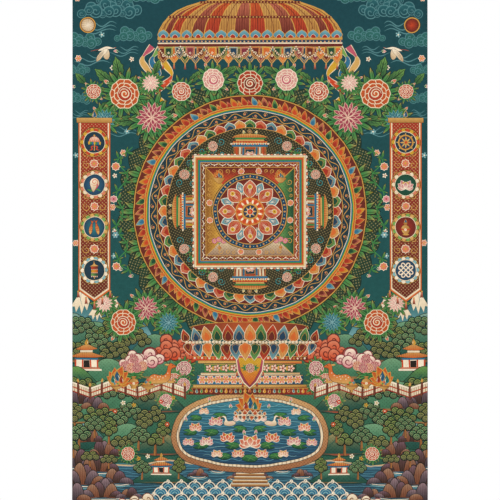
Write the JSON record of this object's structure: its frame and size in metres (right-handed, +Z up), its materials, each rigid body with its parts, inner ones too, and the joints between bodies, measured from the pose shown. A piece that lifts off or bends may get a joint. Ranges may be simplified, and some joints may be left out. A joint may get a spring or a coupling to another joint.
{
  "type": "thangka scroll painting",
  "caption": "Unmounted painted cotton panel of a scroll painting: a thin rectangular cloth, painted edge to edge, hanging by its top edge.",
  "frame": {"origin": "middle of the cloth's top edge, by which it hangs", "axes": "+Z up, +X to the right of someone who faces the painting, and -Y out of the painted face"},
  "size_m": [0.6, 0.0076, 0.88],
  "materials": {
    "painted_cotton": "matte mineral paint on sized plain-weave cotton, raw cotton behind"
  },
  "bodies": {
    "root": {"painted_panel": "painted_cotton"}
  },
  "joints": []
}
